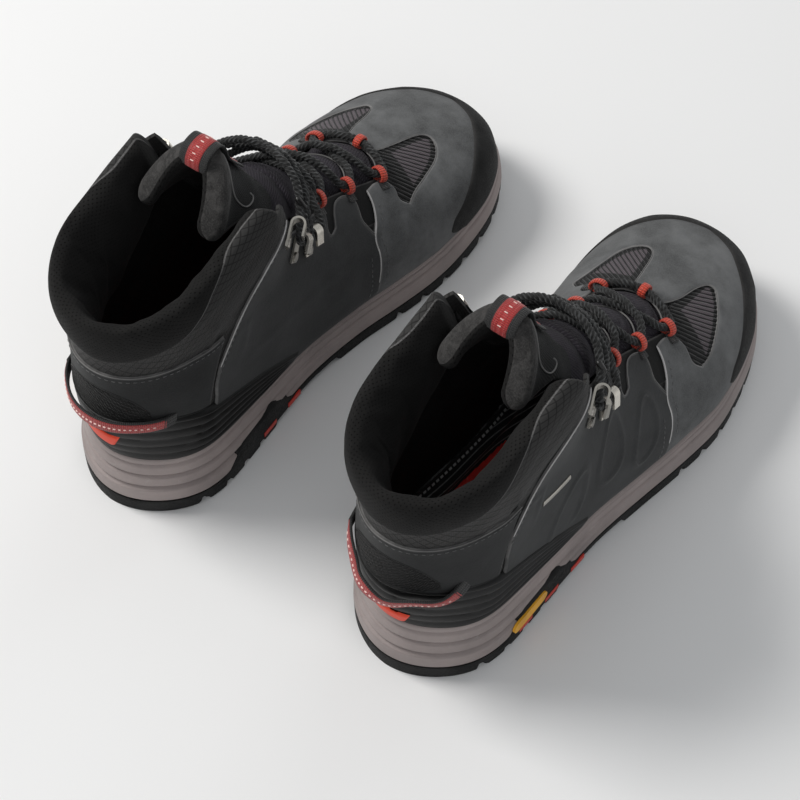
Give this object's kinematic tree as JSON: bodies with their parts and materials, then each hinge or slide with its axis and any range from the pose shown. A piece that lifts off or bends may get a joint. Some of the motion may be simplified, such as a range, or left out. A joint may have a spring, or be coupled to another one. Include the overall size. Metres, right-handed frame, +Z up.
{
  "type": "hiking boots",
  "caption": "Pair of mid-height lace-up hiking boots with lugged soles, padded collars and tongues, metal lace hooks and heel pull loops.",
  "frame": {"origin": "middle of the pair's footprint, on the ground plane", "axes": "+Z up, toes towards -Y, right boot on the -X side, left boot on the +X side"},
  "size_m": [0.2846, 0.3236, 0.1893],
  "materials": {
    "rubber_black": "moulded, matt",
    "accent_red": "moulded, satin",
    "badge_yellow": "moulded, satin",
    "midsole_taupe": "moulded foam, matt",
    "shank_steel": "plain",
    "board_tan": "fibre board",
    "cradle_black": "satin",
    "ripstop_grey": "ripstop weave",
    "lining_black": "spacer mesh",
    "stiffener_tan": "plain",
    "rand_rubber": "smooth, matt",
    "nubuck_grey": "nubuck",
    "vent_mesh_grey": "ribbed mesh",
    "eyestay_black": "synthetic, matt",
    "loop_red": "glossy",
    "hook_metal": "satin nickel",
    "lace_black": "braided",
    "lace_tip_black": "glossy",
    "overlay_grey": "matt synthetic",
    "stretch_grey": "ribbed knit",
    "webbing_red": "woven webbing",
    "insole_black": "printed top cloth"
  },
  "bodies": {
    "right_boot": {"right_outsole": "rubber_black", "right_outsole_inserts": "accent_red", "right_sole_badge": "badge_yellow", "right_midsole": "midsole_taupe", "right_shank": "shank_steel", "right_insole_board": "board_tan", "right_heel_cradle": "cradle_black", "right_heel_emblem": "accent_red", "right_upper_shell": "ripstop_grey", "right_lining": "lining_black", "right_collar_pad": "lining_black", "right_toe_puff": "stiffener_tan", "right_heel_counter": "stiffener_tan", "right_toe_rand": "rand_rubber", "right_vamp": "nubuck_grey", "right_quarter_lateral": "nubuck_grey", "right_quarter_medial": "nubuck_grey", "right_vent_mesh": "vent_mesh_grey", "right_eyestay": "eyestay_black", "right_lace_loops": "loop_red", "right_lace_hooks": "hook_metal", "right_hook_rivets": "hook_metal", "right_lace": "lace_black", "right_lace_tips": "lace_tip_black", "right_heel_overlay": "overlay_grey", "right_tongue_lower": "stretch_grey"},
    "right_tongue_body": {"right_tongue_cuff": "overlay_grey", "right_tongue_tab": "webbing_red"},
    "right_heel_loop_body": {"right_heel_loop": "webbing_red"},
    "right_insole_body": {"right_insole": "insole_black"},
    "left_boot": {"left_outsole": "rubber_black", "left_outsole_inserts": "accent_red", "left_sole_badge": "badge_yellow", "left_midsole": "midsole_taupe", "left_shank": "shank_steel", "left_insole_board": "board_tan", "left_heel_cradle": "cradle_black", "left_heel_emblem": "accent_red", "left_upper_shell": "ripstop_grey", "left_lining": "lining_black", "left_collar_pad": "lining_black", "left_toe_puff": "stiffener_tan", "left_heel_counter": "stiffener_tan", "left_toe_rand": "rand_rubber", "left_vamp": "nubuck_grey", "left_quarter_lateral": "nubuck_grey", "left_quarter_medial": "nubuck_grey", "left_vent_mesh": "vent_mesh_grey", "left_eyestay": "eyestay_black", "left_lace_loops": "loop_red", "left_lace_hooks": "hook_metal", "left_hook_rivets": "hook_metal", "left_lace": "lace_black", "left_lace_tips": "lace_tip_black", "left_heel_overlay": "overlay_grey", "left_tongue_lower": "stretch_grey"},
    "left_tongue_body": {"left_tongue_cuff": "overlay_grey", "left_tongue_tab": "webbing_red"},
    "left_heel_loop_body": {"left_heel_loop": "webbing_red"},
    "left_insole_body": {"left_insole": "insole_black"}
  },
  "joints": [
    {"name": "right_tongue_tilt", "type": "hinge", "parent": "right_boot", "child": "right_tongue_body", "pos_m": [-0.08904, 0.0203, 0.1465], "axis": [1, 0, 0], "range_deg": [-8, 16], "stiffness_Nm_per_rad": 0.4},
    {"name": "right_heel_loop_swing", "type": "hinge", "parent": "right_boot", "child": "right_heel_loop_body", "pos_m": [-0.08904, 0.1223, 0.0755], "axis": [1, 0, 0], "range_deg": [-12, 14], "stiffness_Nm_per_rad": 0.03},
    {"name": "right_insole_lift", "type": "hinge", "parent": "right_boot", "child": "right_insole_body", "pos_m": [-0.08904, -0.1367, 0.032], "axis": [1, 0, 0], "range_deg": [0, 8]},
    {"name": "left_boot_lift", "type": "slide", "parent": "right_boot", "child": "left_boot", "axis": [0, 0, 1], "range_m": [0, 0.15]},
    {"name": "left_tongue_tilt", "type": "hinge", "parent": "left_boot", "child": "left_tongue_body", "pos_m": [0.086, 0.03097, 0.1465], "axis": [0.9995, 0.0332, 0], "range_deg": [-8, 16], "stiffness_Nm_per_rad": 0.4},
    {"name": "left_heel_loop_swing", "type": "hinge", "parent": "left_boot", "child": "left_heel_loop_body", "pos_m": [0.08262, 0.13291, 0.0755], "axis": [0.9995, 0.0332, 0], "range_deg": [-12, 14], "stiffness_Nm_per_rad": 0.03},
    {"name": "left_insole_lift", "type": "hinge", "parent": "left_boot", "child": "left_insole_body", "pos_m": [0.09121, -0.12595, 0.032], "axis": [0.9995, 0.0332, 0], "range_deg": [0, 8]}
  ]
}
